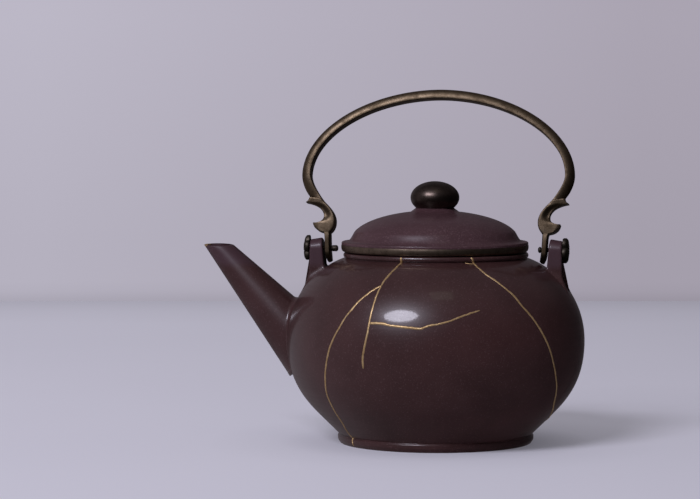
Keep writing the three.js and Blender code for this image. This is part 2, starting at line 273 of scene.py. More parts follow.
def revolve(name, profile, segments, closed=False, axis_x=0.0):
    """A profile turned about an upright axis. It starts and ends on the axis, or closes on itself."""
    circle = [(cos(a), sin(a)) for a in turns(segments)]
    verts = [(axis_x + r * x, r * y, z) for r, z in profile for x, y in circle]
    return mesh_from(name, verts, grid_faces(len(profile), segments, close_rows=closed))


def loft(name, rings):
    """Closed rings of equal length joined in order, with a flat face on each end."""
    return mesh_from(name, [v for ring in rings for v in ring], tube_faces(len(rings), len(rings[0])))


def boolean(target, tool, operation):
    """Joins the tool to the target or cuts it away, and removes the tool."""
    mod = target.modifiers.new("cut", "BOOLEAN")
    mod.object = tool
    mod.operation = operation
    mod.solver = "MANIFOLD"
    graph = bpy.context.evaluated_depsgraph_get()
    made = bpy.data.meshes.new_from_object(target.evaluated_get(graph))
    target.modifiers.clear()
    target.data = made
    bpy.data.objects.remove(tool)


def mirrored(obj, name):
    """A copy of obj on the other side of the plane X = 0."""
    verts = [(-v.co.x / MM, v.co.y / MM, v.co.z / MM) for v in obj.data.vertices]
    faces = [tuple(reversed(p.vertices)) for p in obj.data.polygons]
    return mesh_from(name, verts, faces)


def cut_pin_holes(target, from_x, to_x):
    """A round hole along X for each of the two pins."""
    circle = [(PIN_HOLE_RADIUS * cos(a), PIVOT_HEIGHT + PIN_HOLE_RADIUS * sin(a)) for a in turns(32)]
    for side in (1, -1):
        rod = loft("hole", [[(side * x, y, z) for y, z in circle] for x in (from_x, to_x)])
        boolean(target, rod, "DIFFERENCE")


def finish_piece(obj, body, slot, material, *nodes, sharp=32):
    """Shading, material and the CAD nodes that a piece stands for."""
    obj.data.materials.clear()
    obj.data.materials.append(material)
    obj.data.shade_smooth()
    obj.data.set_sharp_from_angle(angle=radians(sharp))
    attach(obj, body)
    if nodes:
        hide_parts(*nodes)


# The pot's outside as one radius for each height

SHOULDER_X = BELLY_RADIUS - SHOULDER_ACROSS


def bezier(p0, p1, p2, p3, t):
    """A point on a curve from p0 to p3 that bends towards p1 and p2."""
    u = 1 - t
    return (Vector(p0) * u ** 3 + Vector(p1) * 3 * u * u * t
            + Vector(p2) * 3 * u * t * t + Vector(p3) * t ** 3)


def pot_outside():
    """Outer profile, from the middle of the sole up to the middle of the mouth."""
    foot = rounded([
        (0, 0, 0),
        (SOLE_RADIUS, 0, FOOT_EDGE),
        (FOOT_RADIUS, FOOT_BEAD_HEIGHT / 2, FOOT_ROUND),
        (FOOT_RADIUS, FOOT_BEAD_HEIGHT, FOOT_EDGE),
        (FOOT_GROOVE_RADIUS, FOOT_HEIGHT, GROOVE_ROUND),
        UNDERSIDE_END + (0,),
    ])
    belly = (BELLY_RADIUS, BELLY_HEIGHT)
    bend = (BELLY_RADIUS, BELLY_HEIGHT - UNDERSIDE_BEND)
    underside = [tuple(bezier(UNDERSIDE_END, UNDERSIDE_END_BEND, bend, belly, i / 40)) for i in range(1, 41)]
    shoulder = ellipse_arc(SHOULDER_X, BELLY_HEIGHT, SHOULDER_ACROSS, SHOULDER_UP, 0, NECK_ANGLE, 48)
    bead = ellipse_arc(
        NECK_BEAD_X, NECK_BEAD_Z, NECK_BEAD_OUT, NECK_BEAD_HALF, -NECK_BEAD_ANGLE, NECK_BEAD_ANGLE, 14)
    rim = rounded([
        bead[-1] + (0,),
        (NECK_BEAD_X, NECK_TOP, RIM_EDGE),
        (NECK_BEAD_X - RIM_LAND, NECK_TOP, 0),
    ], 3)
    return foot + underside + shoulder[1:] + bead + rim[1:] + [(0, NECK_TOP)]


OUTSIDE = pot_outside()


def pot_radius(z):
    """Outer radius of the pot at a height."""
    best = 0.0
    for (r0, z0), (r1, z1) in zip(OUTSIDE[1:-1], OUTSIDE[2:-1]):
        if min(z0, z1) - 1e-9 <= z <= max(z0, z1) + 1e-9 and abs(z1 - z0) > 1e-9:
            best = max(best, r0 + (r1 - r0) * (z - z0) / (z1 - z0))
    return best


def surface_normal(point):
    """Outward direction of the pot's surface beside a point."""
    step = 0.25
    slope = (pot_radius(point.z + step) - pot_radius(point.z - step)) / (2 * step)
    across = Vector((point.x, point.y, 0)).normalized()
    return (across - Vector((0, 0, slope))).normalized()


def off_pot(point):
    """Distance from a point to the pot's outer surface, negative inside."""
    spot = Vector((hypot(point.x, point.y), point.z))
    nearest = 1e9
    for start, end in zip(OUTSIDE[1:-1], OUTSIDE[2:-1]):
        a = Vector(start)
        along = Vector(end) - a
        length = along.length_squared
        share = min(1.0, max(0.0, (spot - a).dot(along) / length)) if length else 0.0
        nearest = min(nearest, (spot - a - along * share).length)
    return nearest if spot.x > pot_radius(point.z) else -nearest


def fillet_offset(distance, radius):
    """How far a wall spreads at a distance from the surface that it runs into squarely."""
    gap = max(distance, 0.1 * radius)
    if gap >= radius:
        return 0.0
    return radius - sqrt(radius * radius - (radius - gap) ** 2)


def pot_inside():
    """Profile of the hollow, from the middle of the floor up to past the mouth."""
    across = SHOULDER_ACROSS - WALL
    mouth = degrees(acos((MOUTH_RADIUS - SHOULDER_X) / across))
    round_x = BELLY_RADIUS - WALL - INSIDE_ROUND
    floor = degrees(asin((INSIDE_HEIGHT - FLOOR_HEIGHT - FLOOR_CORNER_RISE) / INSIDE_ROUND))
    low = ellipse_arc(round_x, INSIDE_HEIGHT, INSIDE_ROUND, INSIDE_ROUND, -floor, 0, 20)
    high = ellipse_arc(SHOULDER_X, BELLY_HEIGHT, across, SHOULDER_UP - WALL, 0, mouth, 24)
    corner = (low[0][0] - FLOOR_CORNER_REACH, FLOOR_HEIGHT, FLOOR_CORNER_ROUND)
    bottom = rounded([(0, FLOOR_HEIGHT, 0), corner, low[0] + (0,)], 5)
    edge = MOUTH_RADIUS + MOUTH_CHAMFER
    top = rounded([
        high[-1] + (0,),
        (MOUTH_RADIUS, NECK_TOP - MOUTH_CHAMFER, MOUTH_ROUND),
        (edge, NECK_TOP, 0),
    ], 3)
    return bottom + low[1:] + high[1:] + top[1:] + [(edge, NECK_TOP + CUT_PAST), (0, NECK_TOP + CUT_PAST)]


# Spout

SPOUT_AXIS = Vector((cos(SPOUT_DROP), 0, -sin(SPOUT_DROP)))
SPOUT_UP = Vector((sin(SPOUT_DROP), 0, cos(SPOUT_DROP)))


def spout_normal(angle):
    """Direction square to the spout's axis, from +Y round to its upper side."""
    return Vector((0, cos(angle), 0)) + SPOUT_UP * sin(angle)


def spout_along(angle, inset, height):
    """Where a line of the cone, drawn in by inset, crosses a plane at that height, tilted like the mouth."""
    lift = sin(angle) * SPOUT_UP.z
    level = height + MOUTH_TILT * cos(angle)
    return (SPOUT_APEX.z - inset * lift - level) / (sin(SPOUT_DROP) - SPOUT_TAPER * lift)


def spout_point(angle, along, out=0.0):
    """A point of the cone's surface, or out from it."""
    return SPOUT_APEX + SPOUT_AXIS * along + spout_normal(angle) * (along * SPOUT_TAPER + out)


def spout_meeting(angle):
    """Distance from the apex where a line of the bare cone runs into the pot."""
    near = CLEAR_OF_POT
    far = SPOUT_END
    for _ in range(30):
        middle = (near + far) / 2
        point = spout_point(angle, middle)
        if hypot(point.x, point.y) > pot_radius(point.z):
            near = middle
        else:
            far = middle
    return far


def spout_line(angle, plain_rows=22, fillet_rows=18):
    """Points down one line of the spout, with the fillet where it runs into the pot."""
    slope = atan(SPOUT_TAPER)
    first = spout_along(angle, 0, SPOUT_MOUTH - LIP_ROUND)
    meeting = spout_meeting(angle)
    cone_normal = spout_normal(angle) * cos(slope) - SPOUT_AXIS * sin(slope)
    turn = cone_normal.angle(surface_normal(spout_point(angle, meeting)))
    tangent = SPOUT_FILLET * tan(turn / 2)
    most = SPOUT_FILLET * (sin(0.94 * turn) if turn < pi / 2 else 0.985)
    start = meeting - tangent * cos(slope)
    stop = meeting + tangent * cos(slope)
    stations = [between(first, start, i / plain_rows) for i in range(1, plain_rows + 1)]
    stations += [between(start, stop, i / fillet_rows) for i in range(1, fillet_rows + 1)]
    stations.append(SPOUT_END + CUT_PAST)
    line = []
    for along in stations:
        reach = min(max(0.0, (along - start) / cos(slope)), most)
        spread = SPOUT_FILLET - sqrt(SPOUT_FILLET ** 2 - reach ** 2)
        line.append(spout_point(angle, along, spread))
    return line


def spout_outside(segments=112):
    rings = []
    for i in range(7):
        a = pi / 2 * (1 - i / 6)
        inset = LIP_ROUND * (1 - cos(a))
        height = SPOUT_MOUTH - LIP_ROUND * (1 - sin(a))
        ring = []
        for angle in turns(segments):
            along = spout_along(angle, inset, height)
            ring.append(spout_point(angle, along, -inset))
        rings.append(ring)
    lines = [spout_line(angle) for angle in turns(segments)]
    rings += [list(ring) for ring in zip(*lines)]
    return loft("spout", rings)


def bore_offset(angle, along):
    """The bore's place under the cone: the wall is thin at the lip and grows to the bore's own taper."""
    wall = LIP_WALL + LIP_WALL_GROWTH * (along - spout_along(angle, 0, SPOUT_MOUTH))
    return max(along * (BORE_TAPER - SPOUT_TAPER) - BORE_THINNING, -wall)


def spout_bore(segments=80, rows=24):
    rings = []
    for i in range(rows + 1):
        ring = []
        for angle in turns(segments):
            first = spout_along(angle, LIP_WALL, SPOUT_MOUTH + BORE_PAST)
            along = between(first, BORE_END, (i / rows) ** BORE_ROW_SPREAD)
            ring.append(spout_point(angle, along, bore_offset(angle, along)))
        rings.append(ring)
    return loft("bore", rings)


# Ears

def ear_outer_x(z):
    """The ear's outer face: upright, then a curve that runs out into the shoulder."""
    if z >= EAR_FLARE_TOP:
        return EAR_OUTER_X
    to_bend = EAR_FLARE_TOP - EAR_BEND[1]
    past_bend = EAR_FLARE_TOP - EAR_BASE - 2 * to_bend
    t = (sqrt(to_bend ** 2 + past_bend * (EAR_FLARE_TOP - z)) - to_bend) / past_bend
    return (1 - t) ** 2 * EAR_OUTER_X + 2 * t * (1 - t) * EAR_BEND[0] + t * t * EAR_BASE_X


def ear_outline(inset, drop):
    """Points (y, z) round the ear, from its base on one side over the arch to the other."""
    side = []
    for i in range(26):
        z = EAR_BASE + (PIVOT_HEIGHT - EAR_BASE) * i / 26
        spread = EAR_SPREAD * max(0.0, (EAR_FLARE_TOP - z) / (EAR_FLARE_TOP - EAR_BASE))
        side.append((-(EAR_HALF_WIDTH + spread - inset), z))
    arch = []
    for i in range(25):
        a = pi * (1 - i / 24)
        y = (EAR_HALF_WIDTH - inset) * cos(a)
        arch.append((y, PIVOT_HEIGHT + (EAR_HALF_WIDTH - inset - drop) * sin(a)))
    return side + arch + [(-y, z) for y, z in reversed(side)]


def right_ear():
    """The ear as rings from its inner face out to its outer face."""
    face = (EAR_HALF_WIDTH - EAR_EDGE) * 0.98
    inner_side = [(EAR_EDGE + face * (1 - k / 3), 0.0) for k in range(4)]
    for k in range(1, 6):
        a = pi / 2 * k / 5
        inner_side.append((EAR_EDGE * (1 - sin(a)), EAR_EDGE * (1 - cos(a))))
    stations = [(inset, shift, 0.0) for inset, shift in inner_side]
    stations += [(0.0, 0.0, k / 8) for k in range(1, 8)]
    stations += [(inset, -shift, 1.0) for inset, shift in reversed(inner_side)]
    rings = []
    for inset, shift, t in stations:
        ring = []
        for y, z in ear_outline(inset, EAR_TOP_SLOPE * t):
            inner = EAR_INNER_X + EAR_LEAN * (z - PIVOT_HEIGHT)
            outer = ear_outer_x(z)
            middle = between(inner + EAR_EDGE, outer - EAR_EDGE, t)
            x = inner + shift if t == 0 else outer + shift if t == 1 else middle
            spread = fillet_offset(off_pot(Vector((x, y, z))), EAR_FILLET)
            ring.append((x - spread * (1 - t), y * (1 + spread / EAR_HALF_WIDTH), z))
        rings.append(ring)
    return loft("ear", rings)


# Handle: stations across a strip between its inner and its outer edge

def superellipse(half, rise, angle):
    power = 2 / BOW_POWER
    return Vector((
        half * max(0.0, cos(angle)) ** power,
        BOW_CENTRE + rise * max(0.0, sin(angle)) ** power,
    ))


def smooth(t):
    t = min(1.0, max(0.0, t))
    return t * t * (3 - 2 * t)


def bow_section():
    """Half section (across, depth) of the bow: a flat inner face, a crisp edge and a round outer face."""
    inner = [(0, 0), (0, 0.3), (0, 0.6), (0, 0.84), (0.012, 0.93), (0.045, 0.985)]
    quarter = [pi / 2 * k / 10 for k in range(11)]
    return inner + [(between(BOW_RIDGE, 1, sin(a)), cos(a) ** 0.9) for a in quarter]


def scroll_section(hollow):
    """Half section of the scroll: crisp edges and a ridge near its back, falling away to the notch."""
    section = [(0, 0), (0, 0.45), (0, 0.86), (0.012, 0.93), (0.04, 0.975)]
    for s in (0.09, 0.17, 0.26, 0.36, 0.47, 0.59, 0.71, 0.83, 0.93):
        sink = smooth((s - 0.2) / 0.6)
        section.append((s, 1 - hollow * sink))
    edge = 1 - hollow
    return section + [(1, edge - 0.08), (1, 0.4), (1, 0)]


TONGUE_SECTION = [(0, 0), (0, 0.45), (0, 0.86), (0.04, 0.94), (0.12, 0.985)]
TONGUE_SECTION += [(s, 1.0) for s in (0.2, 0.28, 0.36, 0.44, 0.52, 0.6, 0.7, 0.8)]
TONGUE_SECTION += [(0.9, 0.985), (1, 0.9), (1, 0.4), (1, 0)]
BOW_SECTION = bow_section()


def straight(a, b):
    """A straight edge, written as a curve."""
    return (a, Vector(a).lerp(Vector(b), 1 / 3), Vector(a).lerp(Vector(b), 2 / 3), b)


# Edges of the right-hand leg, scroll and tongue as points (x, z). Each curve has two ends and two bends.
LEG_INNER = ((BOW_INNER[0], BOW_CENTRE), (BOW_INNER[0], 122.4), (57.0, 117.7), (55.3, 115.2))
LEG_OUTER = ((BOW_OUTER[0], BOW_CENTRE), (BOW_OUTER[0], 122.6), (63.3, 118.4), (60.9, 115.6))
SCROLL_TOP_INNER = (54.2, 113.75)
SCROLL_TOP_OUTER = (60.7, 114.5)
UPPER_HORN = (62.4, 112.6)
LOWER_HORN = (58.6, 102.8)
BACK_MIDDLE = (53.2, 112.7)
BACK_LOW = (48.15, 102.4)
TONGUE_TOP_INNER = (50.4, 98.3)
TONGUE_TOP_OUTER = (53.4, 98.3)
TONGUE_PIVOT_INNER = (50.1, PIVOT_HEIGHT)
TONGUE_PIVOT_OUTER = (52.55, PIVOT_HEIGHT)
HORN_INNER = straight(SCROLL_TOP_INNER, BACK_MIDDLE)
HORN_OUTER = (SCROLL_TOP_OUTER, (60.95, 113.7), (61.6, 112.9), UPPER_HORN)
NOTCH_INNER = (BACK_MIDDLE, (50.0, 109.6), (47.6, 106.5), BACK_LOW)
NOTCH_OUTER = (UPPER_HORN, (51.8, 110.9), (51.0, 102.5), LOWER_HORN)
NECK_INNER = (BACK_LOW, (48.4, 100.8), (49.2, 99.0), TONGUE_TOP_INNER)
NECK_OUTER = (LOWER_HORN, (58.2, 100.2), (56.2, 98.6), TONGUE_TOP_OUTER)
TONGUE_INNER = straight(TONGUE_TOP_INNER, TONGUE_PIVOT_INNER)
TONGUE_OUTER = (TONGUE_TOP_OUTER, (52.75, 98.0), (52.7, 96.0), TONGUE_PIVOT_OUTER)
TIP_INNER = (TONGUE_PIVOT_INNER, (49.95, 88.5), (49.6, 86.5), (49.2, 85.3))
TIP_OUTER = (TONGUE_PIVOT_OUTER, (52.5, 88.5), (52.0, 86.2), (51.1, 84.5))

# Hollows of the scroll's face, and the last rings of the tongue as (share of its size, drop)
LEAF_HOLLOW = 0.05
HORN_HOLLOW = 0.1
NECK_HOLLOW = 0.03
TIP_RINGS = ((0.85, 0.18), (0.5, 0.32))

# The leaf's edge where the leg ends and the scroll begins: inner point, outer point, half depth, section
LEAF = scroll_section(LEAF_HOLLOW)
LEAF_EDGE = [
    ((54.8, 114.55), (60.65, 115.15), LEG_END_HALF_DEPTH, BOW_SECTION),
    ((54.7, 114.4), (60.6, 115.02), 3.4, LEAF),
    ((54.5, 114.1), (60.5, 114.9), 3.7, LEAF),
    (SCROLL_TOP_INNER, SCROLL_TOP_OUTER, SCROLL_HALF_DEPTH, LEAF),
]


def notch_section(t):
    """The scroll's section along the notch, hollowed most in its upper half."""
    deepest = 0.3 * smooth(t / 0.3) * (1 - smooth((t - 0.5) / 0.35))
    return scroll_section(HORN_HOLLOW + deepest - (HORN_HOLLOW - NECK_HOLLOW) * smooth((t - 0.6) / 0.4))


def neck_section(t):
    """The scroll's section turning into the tongue's."""
    share = smooth((t - 0.4) / 0.6)
    pairs = zip(scroll_section(NECK_HOLLOW), TONGUE_SECTION)
    return [(between(p[0], q[0], share), between(p[1], q[1], share)) for p, q in pairs]


def tip_half_depth(t):
    """The tongue narrows to its tip."""
    fall = max(0.0, TONGUE_NARROWS - bezier(*TIP_OUTER, t).y) / (TONGUE_NARROWS - TIP_OUTER[-1][1])
    return between(TONGUE_HALF_DEPTH, TONGUE_END_HALF_DEPTH, fall ** TONGUE_NARROWING)


def strip(inner, outer, steps, depth, section):
    """Stations down a stretch between two edge curves. Depth and section depend on the way down."""
    stations = []
    for i in range(1, steps + 1):
        t = i / steps
        stations.append((bezier(*inner, t), bezier(*outer, t), depth(t), section(t)))
    return stations


def handle_stations():
    """Inner point, outer point, half depth and section of each station, from the top to a tongue's tip."""
    stations = []
    for a in [pi / 2 * (1 - i / 60) for i in range(61)]:
        inner = superellipse(*BOW_INNER, a)
        stations.append((inner, superellipse(*BOW_OUTER, a), BOW_HALF_DEPTH, BOW_SECTION))
    stations += strip(
        LEG_INNER, LEG_OUTER, 16,
        lambda t: between(BOW_HALF_DEPTH, LEG_END_HALF_DEPTH, smooth(t)),
        lambda t: BOW_SECTION)
    stations += [(Vector(inner), Vector(outer), depth, section) for inner, outer, depth, section in LEAF_EDGE]
    stations += strip(
        HORN_INNER, HORN_OUTER, 7,
        lambda t: between(SCROLL_HALF_DEPTH, NOTCH_HALF_DEPTH, t),
        lambda t: scroll_section(between(LEAF_HOLLOW, HORN_HOLLOW, t)))
    stations += strip(NOTCH_INNER, NOTCH_OUTER, 28, lambda t: NOTCH_HALF_DEPTH, notch_section)
    stations += strip(
        NECK_INNER, NECK_OUTER, 16,
        lambda t: between(NOTCH_HALF_DEPTH, NECK_HALF_DEPTH, t),
        neck_section)
    stations += strip(
        TONGUE_INNER, TONGUE_OUTER, 8,
        lambda t: between(NECK_HALF_DEPTH, TONGUE_HALF_DEPTH, t),
        lambda t: TONGUE_SECTION)
    stations += strip(TIP_INNER, TIP_OUTER, 14, tip_half_depth, lambda t: TONGUE_SECTION)
    inner, outer, depth, section = stations[-1]
    middle = (inner + outer) / 2
    for share, drop in TIP_RINGS:
        down = Vector((0, -drop))
        stations.append((middle.lerp(inner, share) + down, middle.lerp(outer, share) + down,
                         depth * (0.6 + 0.4 * share), section))
    return stations


PIVOT = Vector((0, 0, PIVOT_HEIGHT))
LEAN = Matrix.Rotation(-HANDLE_LEAN, 3, "X")


def leaned(point):
    """A point of the upright handle, turned back about the pins."""
    return PIVOT + LEAN @ (Vector(point) - PIVOT)


def handle_half():
    """Rings of the right-hand half of the handle, from its top to the tongue's tip."""
    rings = []
    for inner, outer, depth, section in handle_stations():
        front = []
        for s, e in section:
            p = inner.lerp(outer, s)
            front.append((p.x, -depth * e, p.y))
        back = [(x, -y, z) for x, y, z in reversed(front[1:-1])]
        rings.append([leaned(point) for point in front + back])
    return rings


def bail_handle():
    """Two mirrored halves in one piece, whose top is bent a little to the right."""
    right = handle_half()
    left = [[(-x, y, z) for x, y, z in ring] for ring in right[1:]]
    rings = []
    for ring in list(reversed(left)) + right:
        rise = [max(0.0, (z - BOW_CENTRE) / BOW_OUTER[1]) for x, y, z in ring]
        rings.append([(x + BOW_DRIFT * r * r, y, z) for (x, y, z), r in zip(ring, rise)])
    handle = loft("bail_handle_cast", rings)
    cut_pin_holes(handle, 45, 58)
    return handle


# Pins

def off_petal(angle):
    """Angle from the middle of the nearest petal."""
    step = 2 * pi / ROSETTE_PETALS
    return (angle + step / 2) % step - step / 2


def petal_reach(angle):
    """Edge of the flower at an angle, as overlapping round petals."""
    off = off_petal(angle)
    return PETAL_CENTRE * cos(off) + sqrt(PETAL_RADIUS ** 2 - (PETAL_CENTRE * sin(off)) ** 2)


def petal_height(angle, r):
    """Thickness of the flower at a point: domed petals, a ring of stamens and a small boss."""
    off = off_petal(angle)
    away = hypot(r * cos(off) - PETAL_CENTRE, r * sin(off))
    dome = PETAL_DOME * sqrt(max(0.0, 1 - (away / (PETAL_RADIUS * 1.06)) ** 2))
    cup = PETAL_CUP * exp(-(away / PETAL_CUP_RADIUS) ** 2)
    stamens = 0.95 + 0.4 * cos(2 * ROSETTE_PETALS * off)
    ring = exp(-((r - STAMEN_RING) / STAMEN_SPREAD) ** 2) * stamens
    boss = BOSS_HEIGHT * exp(-(r / BOSS_RADIUS) ** 2)
    body = FLOWER_HEIGHT - FLOWER_FALL * (r / (PETAL_CENTRE + PETAL_RADIUS)) ** 2
    return body + max(dome - cup, 0.9 * ring + 0.35, boss + 0.4)


def rosette_pin(name, upright, end_x):
    """A right-hand pin: flower head, shank and peened end in one piece."""
    angles = turns(PIN_SEGMENTS)
    shank = [
        (end_x, 0.6), (end_x + 0.12, 0.95), (end_x + 0.4, 1.28), (end_x + 0.8, PIN_HEAD_RADIUS),
        (PIN_HEAD_X - 0.3, PIN_HEAD_RADIUS - 0.05), (PIN_HEAD_X, PIN_HEAD_RADIUS - 0.3),
        (PIN_HEAD_X, PIN_RADIUS), (ROSETTE_BACK_X, PIN_RADIUS),
    ]
    flower_back = [(0.5, 0.0), (0.9, 0.0), (0.98, 0.0), (1.0, 0.25)]
    flat_rings = [[(x, r)] * PIN_SEGMENTS for x, r in shank]
    for share, lift in flower_back:
        flat_rings.append([(ROSETTE_BACK_X + lift, share * petal_reach(a)) for a in angles])
    for k in range(PETAL_ROWS):
        share = cos(pi / 2 * k / PETAL_ROWS)
        face = [(a, share * petal_reach(a)) for a in angles]
        flat_rings.append([(ROSETTE_BACK_X + petal_height(a, r), r) for a, r in face])
    start = 0 if upright else pi
    around = [(-sin(a + start), cos(a + start)) for a in angles]
    rings = []
    for flat in flat_rings:
        rings.append([(x, r * y, PIVOT_HEIGHT + r * z) for (x, r), (y, z) in zip(flat, around)])
    return loft(name, rings)


# Lid, band and knob

def lid_profile():
    stem_angle = degrees(acos(STEM_BASE_RADIUS / DOME_RADIUS))
    dome = ellipse_arc(0, DOME_BASE, DOME_RADIUS, DOME_RISE, stem_angle, DOME_END, 56)
    inner_radius = DOME_RADIUS - DOME_THICKNESS
    inner_base = DOME_BASE - DOME_THICKNESS / 2
    flange_inner = FLANGE_RADIUS - FLANGE_THICKNESS
    under_angle = degrees(acos((flange_inner - UNDER_EDGE) / inner_radius))
    under = ellipse_arc(0, inner_base, inner_radius, DOME_RISE - DOME_THICKNESS / 2, under_angle, 90, 30)
    flange_end = LID_SEAT - FLANGE_DEPTH
    top = rounded([(0, STEM_TOP, 0), (STEM_TOP_RADIUS, STEM_TOP, 0.2), dome[0] + (0,)])
    flare = [tuple(bezier(dome[-1], FLARE_BEND, FLARE_END_BEND, FLARE_END, i / 14)) for i in range(1, 15)]
    edge = rounded([
        flare[-1] + (0,),
        (LIP_RADIUS, LIP_TOP, 1.4),
        (LIP_RADIUS, LIP_BOTTOM, 0.1),
        (LID_EDGE_RADIUS, LIP_BOTTOM, 0.1),
        (LID_EDGE_RADIUS, LID_SEAT, 0.3),
        (FLANGE_RADIUS, LID_SEAT, 0.4),
        (FLANGE_RADIUS, flange_end, 0.8),
        (flange_inner, flange_end, 0.8),
        (flange_inner, inner_base + FLANGE_TOP_EDGE, 1.5),
        under[0] + (0,),
    ], 6)
    profile = top + dome[1:] + flare + edge[1:] + under[1:]
    return profile[:-1] + [(0.0, profile[-1][1])]


def band_profile():
    """A half-round bead that ends flush under the lid's lip."""
    half = BAND_MIDDLE - BAND_BOTTOM
    flank = BAND_INSIDE + BAND_FLANK
    top_angle = degrees(asin((BAND_TOP - BAND_MIDDLE) / half))
    bulge = ellipse_arc(flank, BAND_MIDDLE, BAND_RADIUS - flank, half, -90, top_angle, 18)
    return [(BAND_INSIDE, BAND_BOTTOM)] + bulge + [(BAND_INSIDE, BAND_TOP)]


def knob_profile():
    rest = -degrees(asin((KNOB_CENTRE - KNOB_BOTTOM - KNOB_EDGE) / KNOB_HALF_HEIGHT))
    ball = ellipse_arc(0, KNOB_CENTRE, KNOB_RADIUS, KNOB_HALF_HEIGHT, rest, 90, 44)
    under = rounded([(0, KNOB_BOTTOM, 0), (ball[0][0] - KNOB_EDGE, KNOB_BOTTOM, 0.1), ball[0] + (0,)], 3)
    return under + ball[1:-1] + [(0.0, ball[-1][1])]


# Gold seams, as (bearing in degrees from the front towards the right, height) down each break

SEAM_TRUNK = [(-14.4, 89.3), (-14.3, 87.0), (-15.4, 84.0), (-17.0, 80.6), (-17.7, 77.2)]
SEAM_LEFT = [
    (-17.7, 77.2), (-20.5, 75.6), (-23.8, 72.6), (-27.0, 68.4), (-30.2, 62.4), (-33.4, 55.4), (-36.4, 48.4),
    (-38.4, 41.6), (-40.8, 33.2), (-42.6, 26.4), (-44.0, 18.6), (-46.4, 12.2), (-50.4, 6.0), (-49.4, 3.0),
    (-49.0, 0.9),
]
SEAM_MIDDLE = [
    (-17.7, 77.2), (-18.3, 73.4), (-18.5, 68.0), (-18.9, 60.8), (-19.1, 56.4), (-20.0, 50.4), (-20.8, 45.0),
    (-20.7, 40.4),
]
SEAM_ACROSS = [
    (-18.9, 60.9), (-15.0, 61.0), (-10.6, 60.3), (-5.2, 59.6), (-1.6, 59.2), (1.4, 58.9), (4.6, 60.2),
    (10.0, 61.5), (15.6, 63.6), (20.4, 65.4), (24.8, 66.8),
]
SEAM_RIGHT = [
    (29.2, 89.3), (30.6, 87.2), (31.0, 85.2), (33.4, 81.8), (37.4, 78.2), (41.4, 73.4), (44.4, 67.8),
    (48.6, 61.2), (52.4, 53.8), (56.2, 45.6), (59.8, 37.0), (63.6, 30.0), (69.0, 21.8), (78.0, 16.0),
    (90.0, 11.4), (102.0, 8.4), (112.0, 6.8),
]
SEAM_SPUR = [(25.4, 86.9), (27.4, 86.6), (30.4, 86.4)]

# Each seam with its width at the start and at the end
SEAMS = [
    (SEAM_TRUNK, 1.0, 1.05),
    (SEAM_LEFT, 1.0, 0.9),
    (SEAM_MIDDLE, 0.85, 1.1),
    (SEAM_ACROSS, 1.3, 0.72),
    (SEAM_RIGHT, 1.0, 0.95),
    (SEAM_SPUR, 0.7, 0.7),
]
SEAM_SECTION = [
    (-1.0, -0.3), (-1.0, -0.02), (-0.82, 0.1), (-0.45, 0.2), (0.0, 0.24), (0.45, 0.2), (0.82, 0.1),
    (1.0, -0.02), (1.0, -0.3),
]
SEAM_STEPS = 14
SEAM_TOP = NECK_TOP - 0.3
SEAM_BOTTOM = 0.8
SEAM_END_SHARE = 0.45
SEAM_END_GROWTH = 0.11
COURSE_WAVER = (0.22, 0.08)
WIDTH_WAVER = (0.22, 0.2)
HEIGHT_WAVER = (0.85, 0.3)

# Gold fill on the spout's lip
FILL_DOWN = 1.5
FILL_ACROSS = 1.35
FILL_HALF_ANGLE = radians(48)
FILL_PROUD = 0.05
FILL_SUNK = 0.06
FILL_DEPTH = 0.5
FILL_RAGGED = 0.12
FILL_SOFT = 0.3
FILL_ROWS = 16
FILL_COLUMNS = 28


def catmull(points, steps):
    """A smooth run through the waypoints."""
    made = []
    ends = [Vector(point) for point in [points[0]] + points + [points[-1]]]
    for a, b, c, d in zip(ends, ends[1:], ends[2:], ends[3:]):
        made += [tuple(bezier(b, b + (c - a) / 6, c - (d - b) / 6, c, k / steps)) for k in range(steps)]
    return made + [points[-1]]


def on_pot(bearing, z):
    """The point of the pot's outside at a bearing and a height."""
    r = pot_radius(z)
    a = radians(bearing - 90)
    return Vector((r * cos(a), r * sin(a), z))


def gold_seams():
    """A low bead along every seam, which wavers a little in its course, width and height."""
    verts = []
    faces = []
    for row, (waypoints, start_width, end_width) in enumerate(SEAMS, 1):
        path = catmull(waypoints, SEAM_STEPS)
        last = len(path) - 1
        start = len(verts)
        for i, (bearing, z) in enumerate(path):
            slow = noise.noise(Vector((i * 0.11, row * 7.3, 0.0)))
            fine = noise.noise(Vector((i * 0.45, row * 3.1, 5.0)))
            point = on_pot(bearing, min(max(z, SEAM_BOTTOM), SEAM_TOP))
            normal = surface_normal(point)
            b0, z0 = path[max(i - 1, 0)]
            b1, z1 = path[min(i + 1, last)]
            ahead = on_pot(b1, min(z1, SEAM_TOP)) - on_pot(b0, min(z0, SEAM_TOP))
            across = normal.cross(ahead).normalized()
            taper = min(1.0, SEAM_END_SHARE + SEAM_END_GROWTH * min(i, last - i))
            width = between(start_width, end_width, i / last)
            half = width / 2 * taper * (1 + WIDTH_WAVER[0] * slow + WIDTH_WAVER[1] * fine)
            point = point + across * (COURSE_WAVER[0] * slow + COURSE_WAVER[1] * fine)
            height = HEIGHT_WAVER[0] + HEIGHT_WAVER[1] * fine
            for s, h in SEAM_SECTION:
                verts.append(point + across * (s * half) + normal * (h * height))
        faces += tube_faces(last + 1, len(SEAM_SECTION), start)
    return mesh_from("kintsugi_gold_seams", verts, faces)


